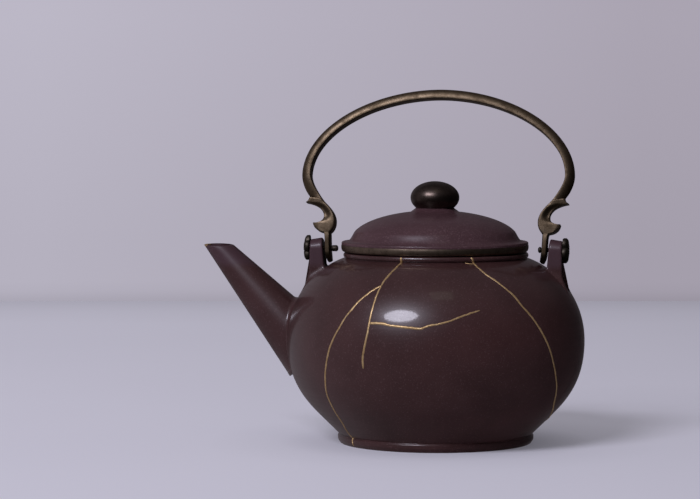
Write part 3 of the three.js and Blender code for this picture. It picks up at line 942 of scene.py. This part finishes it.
def fill_point(u, v, proud):
    """A point of the fill at u across and v down the lip's edge, on its face or on its hidden back."""
    angle = -pi / 2 + u * FILL_HALF_ANGLE
    ragged = FILL_RAGGED * noise.noise(Vector((u * 2.2, v * 2.2, 3.0)))
    mask = smooth((1 - hypot(u, v) + ragged) / FILL_SOFT)
    lift = between(-FILL_SUNK, FILL_PROUD, mask) if proud else -FILL_DEPTH
    top = SPOUT_MOUTH + MOUTH_TILT * cos(angle) + lift
    if v >= 0:
        along = spout_along(angle, 0, SPOUT_MOUTH) + v * FILL_DOWN
        point = spout_point(angle, along, lift)
        point.z = min(point.z, top)
    else:
        inset = -v * FILL_ACROSS
        along = spout_along(angle, inset, SPOUT_MOUTH)
        point = spout_point(angle, along, -inset)
        point.z = top
    return point


def gold_tip():
    """The gold fill that rebuilds a chip at the tip of the spout's lip."""
    across = [2 * j / FILL_COLUMNS - 1 for j in range(FILL_COLUMNS + 1)]
    verts = []
    for i in range(FILL_ROWS + 1):
        v = 2 * i / FILL_ROWS - 1
        verts += [fill_point(u, v, True) for u in across]
        verts += [fill_point(u, v, False) for u in reversed(across)]
    ring = 2 * len(across)
    faces = grid_faces(FILL_ROWS + 1, ring)
    for row in (0, FILL_ROWS):
        for j in range(FILL_COLUMNS):
            face = row * ring + j
            back = row * ring + ring - 1 - j
            faces.append((face, face + 1, back - 1, back))
    return mesh_from("kintsugi_gold_tip", verts, faces)


# Materials

CLAY_IOR = 1.4
CLAY_ROUGHNESS = (0.3, 0.4)
COAT_ROUGHNESS = 0.085
ROUGH_CLAY = 0.42
ROUGH_CLAY_COAT = 0.12
# Lighter, more purple colour of the ears: a painted sheen
EAR_CLAY_WITH_SHEEN = (0.066, 0.034, 0.04)
TURNING_LINES = (30, 30, 900)
PIT_SHADE = 0.45
LOW_SHADE = 0.6

# Where the burnished belly gives way, in metres: to the spout outwards, and to the ears outwards and upwards
SPOUT_STARTS = (0.0715, 0.076)
EARS_START = (0.0505, 0.0525)
EARS_RISE = (0.0815, 0.0845)


def new_material(name):
    """A material, its node tree and the sockets of its shader."""
    material = bpy.data.materials.new(name)
    material.use_nodes = True
    tree = material.node_tree
    return material, tree, tree.nodes["Principled BSDF"].inputs


def node(tree, kind, **values):
    """A new shader node with its inputs and settings."""
    made = tree.nodes.new("ShaderNode" + kind)
    for key, value in values.items():
        if key in made.inputs:
            made.inputs[key].default_value = value
        else:
            setattr(made, key, value)
    return made


def rgba(colour):
    """A colour, or a grey given as one number, with its alpha."""
    if isinstance(colour, (int, float)):
        colour = (colour,) * 3
    return tuple(colour) + (1.0,)


def ramp(tree, source, stops):
    """A colour ramp over source, as (position, colour) stops."""
    made = node(tree, "ValToRGB")
    while len(made.color_ramp.elements) < len(stops):
        made.color_ramp.elements.new(0.5)
    for element, (position, colour) in zip(made.color_ramp.elements, stops):
        element.position = position
        element.color = rgba(colour)
    tree.links.new(source, made.inputs["Fac"])
    return made.outputs["Color"]


def mix_colour(tree, factor, a, b, kind="MIX"):
    """Mixes two colours or sockets by a factor socket or number."""
    made = node(tree, "Mix", data_type="RGBA", blend_type=kind)
    for socket, value in ((made.inputs[0], factor), (made.inputs[6], a), (made.inputs[7], b)):
        if isinstance(value, bpy.types.NodeSocket):
            tree.links.new(value, socket)
        else:
            socket.default_value = rgba(value) if socket.type == "RGBA" else value
    return made.outputs[2]


def place(tree, scale=(1, 1, 1)):
    """Object coordinates, scaled."""
    coords = node(tree, "TexCoord")
    mapping = node(tree, "Mapping", Scale=scale)
    tree.links.new(coords.outputs["Object"], mapping.inputs["Vector"])
    return mapping.outputs["Vector"]


def noise_node(tree, vector, scale, detail=3.0, rough=0.5):
    made = node(tree, "TexNoise", Scale=scale, Detail=detail, Roughness=rough)
    tree.links.new(vector, made.inputs["Vector"])
    return made.outputs["Fac"]


def add_relief(tree, sockets, *layers):
    """Fine relief on the shader from (height, strength, distance) layers, one over the other."""
    normal = None
    for height, strength, distance in layers:
        made = node(tree, "Bump", Strength=strength, Distance=distance)
        tree.links.new(height, made.inputs["Height"])
        if normal:
            tree.links.new(normal, made.inputs["Normal"])
        normal = made.outputs["Normal"]
    tree.links.new(normal, sockets["Normal"])


def spread(tree, value, low, high):
    """0 where a value is at low, 1 where it is at high."""
    made = node(tree, "MapRange", **{"From Min": low, "From Max": high})
    tree.links.new(value, made.inputs["Value"])
    return made.outputs["Result"]


def along_axis(tree, vector, axis, low, high):
    """How far vector reaches along an axis, from 0 at low to 1 at high."""
    dot = node(tree, "VectorMath", operation="DOT_PRODUCT")
    tree.links.new(vector, dot.inputs[0])
    dot.inputs[1].default_value = axis
    return spread(tree, dot.outputs["Value"], low, high)


def position_mask(tree, axis, start, end):
    """0 where the object coordinate along an axis is at start, 1 where it is at end, on both sides alike."""
    split = node(tree, "SeparateXYZ")
    tree.links.new(place(tree), split.inputs["Vector"])
    size = node(tree, "Math", operation="ABSOLUTE")
    tree.links.new(split.outputs[axis], size.inputs[0])
    return spread(tree, size.outputs["Value"], start, end)


def clay_material(name, deep, mid, speck, speck_amount, coat, ears=False):
    """Burnished stoneware: uneven purple-brown, fine pale specks and faint turning lines.

    The turned faces are burnished. With ears set, what stands out beyond them is left rougher, and the ears
    are coloured lighter and more purple, a painted sheen.
    """
    material, tree, sockets = new_material(name)
    here = place(tree)
    cloud = noise_node(tree, here, scale=38, detail=4.0, rough=0.55)
    colour = mix_colour(tree, ramp(tree, cloud, [(0.3, 0), (0.7, 1)]), deep, mid)
    grain = noise_node(tree, here, scale=1500, detail=2.0, rough=0.6)
    specks = ramp(tree, grain, [(0.6 - speck_amount, 0), (0.76 - speck_amount, 1)])
    colour = mix_colour(tree, specks, colour, speck)
    lines = noise_node(tree, place(tree, TURNING_LINES), scale=1.0, detail=3.0, rough=0.6)
    worn = noise_node(tree, here, scale=90, detail=5.0, rough=0.6)
    gloss = mix_colour(tree, 0.5, lines, worn)
    rough = ramp(tree, gloss, [(0.3, CLAY_ROUGHNESS[0]), (0.7, CLAY_ROUGHNESS[1])])
    if ears:
        spout = position_mask(tree, "X", *SPOUT_STARTS)
        outward = position_mask(tree, "X", *EARS_START)
        ear = mix_colour(tree, 1.0, outward, position_mask(tree, "Z", *EARS_RISE), "MULTIPLY")
        away = mix_colour(tree, 1.0, spout, ear, "LIGHTEN")
        rough = mix_colour(tree, away, rough, ROUGH_CLAY)
        # Painted sheen: the ears are coloured lighter and more purple
        colour = mix_colour(tree, ear, colour, EAR_CLAY_WITH_SHEEN)
        tree.links.new(mix_colour(tree, away, coat, ROUGH_CLAY_COAT), sockets["Coat Weight"])
    else:
        sockets["Coat Weight"].default_value = coat
    tree.links.new(colour, sockets["Base Color"])
    tree.links.new(rough, sockets["Roughness"])
    add_relief(tree, sockets, (lines, 0.04, 0.0003), (grain, 0.06, 0.0002))
    sockets["IOR"].default_value = CLAY_IOR
    sockets["Coat Roughness"].default_value = COAT_ROUGHNESS
    sockets["Coat IOR"].default_value = CLAY_IOR
    return material


def metal_material(name, dark, mid, bright, roughness, scale=260, painted_shade_below=None, metallic=1.0):
    """Old cast brass or bronze: cloudy patina, dark in the pits, and a faint relief.

    With painted_shade_below set, two heights, the colour darkens from the upper to the lower one, a painted
    shade.
    """
    material, tree, sockets = new_material(name)
    here = place(tree)
    patina = noise_node(tree, here, scale=scale, detail=5.0, rough=0.62)
    tone = ramp(tree, patina, [(0.28, dark), (0.5, mid), (0.74, bright)])
    pits = noise_node(tree, here, scale=scale * 6, detail=2.0, rough=0.5)
    in_pits = ramp(tree, pits, [(0.26, 1), (0.4, 0)])
    colour = mix_colour(tree, in_pits, tone, tuple(c * PIT_SHADE for c in dark))
    # Painted shade: darker towards the bottom
    if painted_shade_below:
        low = position_mask(tree, "Z", *painted_shade_below)
        colour = mix_colour(tree, low, colour, tuple(c * LOW_SHADE for c in dark))
    tree.links.new(colour, sockets["Base Color"])
    smoothest, roughest = roughness
    rough = ramp(tree, patina, [(0.3, roughest), (0.7, smoothest)])
    tree.links.new(rough, sockets["Roughness"])
    sockets["Metallic"].default_value = metallic
    add_relief(tree, sockets, (pits, 0.12, 0.0002), (patina, 0.1, 0.0005))
    return material


pot_clay = clay_material(
    "burnished_clay", deep=(0.042, 0.0175, 0.0165), mid=(0.059, 0.0258, 0.0245),
    speck=(0.1, 0.056, 0.056), speck_amount=0.02, coat=0.54, ears=True)
lid_clay = clay_material(
    "lid_clay", deep=(0.06, 0.029, 0.033), mid=(0.085, 0.0425, 0.047), speck=(0.135, 0.078, 0.084),
    speck_amount=0.07, coat=0.15)
# The handle darkens towards its lower ends, between the ears and the pins: a painted shade
handle_brass = metal_material(
    "antique_brass", dark=(0.068, 0.049, 0.03), mid=(0.135, 0.101, 0.064),
    bright=(0.18, 0.139, 0.092), roughness=(0.42, 0.54), painted_shade_below=(0.102, 0.095))
band_brass = metal_material(
    "rim_brass", dark=(0.135, 0.104, 0.074), mid=(0.23, 0.182, 0.132), bright=(0.31, 0.248, 0.183),
    roughness=(0.36, 0.48))
knob_bronze = metal_material(
    "knob_bronze", dark=(0.05, 0.039, 0.032), mid=(0.085, 0.066, 0.055), bright=(0.12, 0.094, 0.08),
    roughness=(0.33, 0.42))
pin_bronze = metal_material(
    "pin_bronze", dark=(0.03, 0.026, 0.021), mid=(0.07, 0.06, 0.048), bright=(0.13, 0.11, 0.085),
    roughness=(0.48, 0.6), scale=420)
seam_gold = metal_material(
    "seam_gold", dark=(0.36, 0.225, 0.09), mid=(0.53, 0.36, 0.165), bright=(0.66, 0.48, 0.25),
    roughness=(0.36, 0.48), scale=500, metallic=0.5)


# Pieces

pot = revolve("teapot_stoneware", OUTSIDE, POT_SEGMENTS)
boolean(pot, spout_outside(), "UNION")
ear = right_ear()
boolean(pot, mirrored(ear, "left_ear"), "UNION")
boolean(pot, ear, "UNION")
boolean(pot, revolve("cavity", pot_inside(), INSIDE_SEGMENTS), "DIFFERENCE")
boolean(pot, spout_bore(), "DIFFERENCE")
cut_pin_holes(pot, 49, 64)
finish_piece(pot, "pot", "burnished_clay", pot_clay, "teapot_body")

lid = revolve("lid_stoneware", lid_profile(), LID_SEGMENTS, axis_x=LID_SHIFT)
finish_piece(lid, "pot", "lid_clay", lid_clay, "lid")

band = revolve("lid_rim_ring", band_profile(), LID_SEGMENTS, closed=True, axis_x=LID_SHIFT)
finish_piece(band, "pot", "rim_brass", band_brass, "lid_rim_band", sharp=50)

knob = revolve("lid_knob_bronze", knob_profile(), KNOB_SEGMENTS, axis_x=LID_SHIFT)
finish_piece(knob, "pot", "knob_bronze", knob_bronze, "lid_knob")

handle = bail_handle()
finish_piece(handle, "handle", "handle_brass", handle_brass, "bail_handle", sharp=38)

right_pin = rosette_pin("right_pin_rosette", False, RIGHT_PIN_END_X)
upright_pin = rosette_pin("pin", True, LEFT_PIN_END_X)
left_pin = mirrored(upright_pin, "left_pin_rosette")
bpy.data.objects.remove(upright_pin)
finish_piece(right_pin, "pot", "pin_bronze", pin_bronze, "right_rosette_pin", sharp=45)
finish_piece(left_pin, "pot", "pin_bronze", pin_bronze, "left_rosette_pin", sharp=45)

finish_piece(gold_seams(), "pot", "burnished_clay", seam_gold, sharp=60)
finish_piece(gold_tip(), "pot", "burnished_clay", seam_gold, sharp=60)


# Camera at the photograph's angle

VIEW_TURN = radians(9.0)
VIEW_DOWN = radians(3.172)
CAMERA_DISTANCE = 1.384
CAMERA_RIGHT = -0.04045
CAMERA_HEIGHT = 0.1675
CAMERA_LENS = 151.4
forward = Vector((-sin(VIEW_TURN), cos(VIEW_TURN), 0))
rightward = Vector((cos(VIEW_TURN), sin(VIEW_TURN), 0))
camera_data = bpy.data.cameras.new("camera")
camera_data.lens = CAMERA_LENS
camera_data.sensor_width = 36.0
camera = add_object("camera", camera_data)
camera.location = -CAMERA_DISTANCE * forward + CAMERA_RIGHT * rightward + Vector((0, 0, CAMERA_HEIGHT))
aim = forward * cos(VIEW_DOWN) - Vector((0, 0, sin(VIEW_DOWN)))
camera.rotation_mode = "QUATERNION"
camera.rotation_quaternion = aim.to_track_quat("-Z", "Y")
bpy.context.scene.camera = camera


# Table: a pale board whose far edge lies square to the view

TABLE_BACK = 0.91
TABLE_FRONT = 0.42
TABLE_LEFT = 0.8
TABLE_RIGHT = 0.45
TABLE_THICK = 0.03
# Painted shade: the table darkens over this depth before its far edge
FAR_SHADE_DEPTH = 0.22
TABLE_ROUGHNESS = 0.6
# The table's glow is painted light: brighter at the left, weaker in front, and cut close to the pot as a
# painted shadow
GLOW_LEFT = (0.268, 0.265, 0.315)
GLOW_RIGHT = (0.215, 0.212, 0.252)
GLOW_SIDES = (-0.25, 0.25)
GLOW_DEPTHS = (-0.2, 0.7)
PAINTED_SHADOW_BESIDE_POT = [(0.045, 0.55), (0.075, 0.9), (0.11, 1.0)]


def table_board():
    """A board with its top at the height of the pot's sole."""
    edges = ((-TABLE_FRONT, -TABLE_LEFT), (-TABLE_FRONT, TABLE_RIGHT), (TABLE_BACK, TABLE_RIGHT),
             (TABLE_BACK, -TABLE_LEFT))
    rings = []
    for z in (0.0, -TABLE_THICK):
        low = Vector((0, 0, z))
        rings.append([(forward * along + rightward * across + low) / MM for along, across in edges])
    return loft("table", rings)


def table_material():
    """Slightly uneven pale paint with a weak glow, which is painted light: weaker to the right and in front,
    weaker close to the pot as a painted shadow, and darker towards the far edge as a painted shade.
    """
    material, tree, sockets = new_material("table_paint_and_painted_light")
    here = place(tree)
    uneven = noise_node(tree, here, scale=3.0, detail=2.0)
    paint = ramp(tree, uneven, [(0.3, (0.56, 0.556, 0.595)), (0.7, (0.585, 0.581, 0.62))])
    # Painted shade: paint and glow darken towards the far edge
    far = along_axis(tree, here, forward, TABLE_BACK - FAR_SHADE_DEPTH, TABLE_BACK)
    far_shade = ramp(tree, far, [(0.0, 1.0), (0.5, 0.96), (1.0, 0.86)])
    tree.links.new(mix_colour(tree, 1.0, paint, far_shade, "MULTIPLY"), sockets["Base Color"])
    # Painted light: a glow that is brighter to the left than to the right, and weaker in front
    across = along_axis(tree, here, rightward, *GLOW_SIDES)
    glow = ramp(tree, across, [(0.0, GLOW_LEFT), (1.0, GLOW_RIGHT)])
    depth = along_axis(tree, here, forward, *GLOW_DEPTHS)
    # Painted shadow: the glow is weaker close to the pot
    reach = node(tree, "VectorMath", operation="LENGTH")
    tree.links.new(here, reach.inputs[0])
    shades = (
        ramp(tree, depth, [(0.0, 0.88), (1.0, 1.0)]),
        ramp(tree, reach.outputs["Value"], PAINTED_SHADOW_BESIDE_POT),
        far_shade,
    )
    for shade in shades:
        glow = mix_colour(tree, 1.0, glow, shade, "MULTIPLY")
    tree.links.new(glow, sockets["Emission Color"])
    sockets["Emission Strength"].default_value = 1.0
    sockets["Roughness"].default_value = TABLE_ROUGHNESS
    return material


table = table_board()
table.data.materials.append(table_material())
table.visible_glossy = False


# Lights

LIGHT_AIM = Vector((0, 0, 0.06))


def area_light(name, shape, bearing, elevation, roll, distance, width, height, energy, colour):
    """A soft light seen from the pot at that bearing and elevation, aimed at the pot."""
    data = bpy.data.lights.new(name, "AREA")
    data.shape = shape
    data.size = width
    data.size_y = height
    data.energy = energy
    data.color = colour
    light = add_object(name, data)
    a = radians(bearing)
    e = radians(elevation)
    out = Vector((sin(a) * cos(e), -cos(a) * cos(e), sin(e)))
    light.location = LIGHT_AIM + out * distance
    light.rotation_mode = "QUATERNION"
    light.rotation_quaternion = (-out).to_track_quat("-Z", "Y") @ Quaternion((0, 0, 1), radians(roll))


area_light(
    "key", "ELLIPSE", bearing=-24.5, elevation=38.6, roll=10, distance=3.0,
    width=1.28, height=0.79, energy=60, colour=(0.87, 0.85, 1.0))
area_light(
    "panel", "RECTANGLE", bearing=17, elevation=68.6, roll=0, distance=2.0,
    width=0.46, height=0.44, energy=0.36, colour=(1.0, 1.0, 0.8))


# World: the wall that the camera sees, and the dim studio that lights the pot and mirrors in it
WALL_LEFT = (0.502, 0.477, 0.566)
WALL_RIGHT = (0.403, 0.371, 0.442)
WALL_SIDES = (-0.105, 0.099)
WALL_HEIGHTS = (-0.0726, 0.03)
WALL_SHADES = [(0.0, 0.8), (0.007, 0.81), (0.034, 0.887), (0.066, 0.921), (0.2, 0.921), (0.926, 1.0)]
ROOM_TINT = (1.0, 0.88, 0.98)
ROOM_SHADES = [(0.0, 0.015), (0.45, 0.025), (0.72, 0.1), (1.0, 0.24)]
BRIGHT_SIDE = Vector((-1.0, 0.3, 0)).normalized()
CEILING_RISE = (0.3, 0.9)
CEILING_LEVEL = 0.13


def studio_world():
    world = bpy.data.worlds.new("studio")
    world.use_nodes = True
    tree = world.node_tree
    tree.nodes.clear()
    ray = node(tree, "TexCoord").outputs["Generated"]
    across = along_axis(tree, ray, rightward, *WALL_SIDES)
    up = along_axis(tree, ray, (0, 0, 1), *WALL_HEIGHTS)
    wall = ramp(tree, across, [(0.0, WALL_LEFT), (1.0, WALL_RIGHT)])
    wall = mix_colour(tree, 1.0, wall, ramp(tree, up, WALL_SHADES), "MULTIPLY")
    side = along_axis(tree, ray, BRIGHT_SIDE, -1.0, 1.0)
    overhead = along_axis(tree, ray, (0, 0, 1), *CEILING_RISE)
    room = mix_colour(tree, overhead, ramp(tree, side, ROOM_SHADES), CEILING_LEVEL)
    room = mix_colour(tree, 1.0, room, ROOM_TINT, "MULTIPLY")
    choose = node(tree, "MixShader")
    path = node(tree, "LightPath")
    tree.links.new(path.outputs["Is Camera Ray"], choose.inputs["Fac"])
    for socket, colour in ((1, room), (2, wall)):
        background = node(tree, "Background")
        tree.links.new(colour, background.inputs["Color"])
        tree.links.new(background.outputs["Background"], choose.inputs[socket])
    output = node(tree, "OutputWorld")
    tree.links.new(choose.outputs["Shader"], output.inputs["Surface"])
    return world


bpy.context.scene.world = studio_world()
bpy.context.scene.view_settings.view_transform = "Standard"
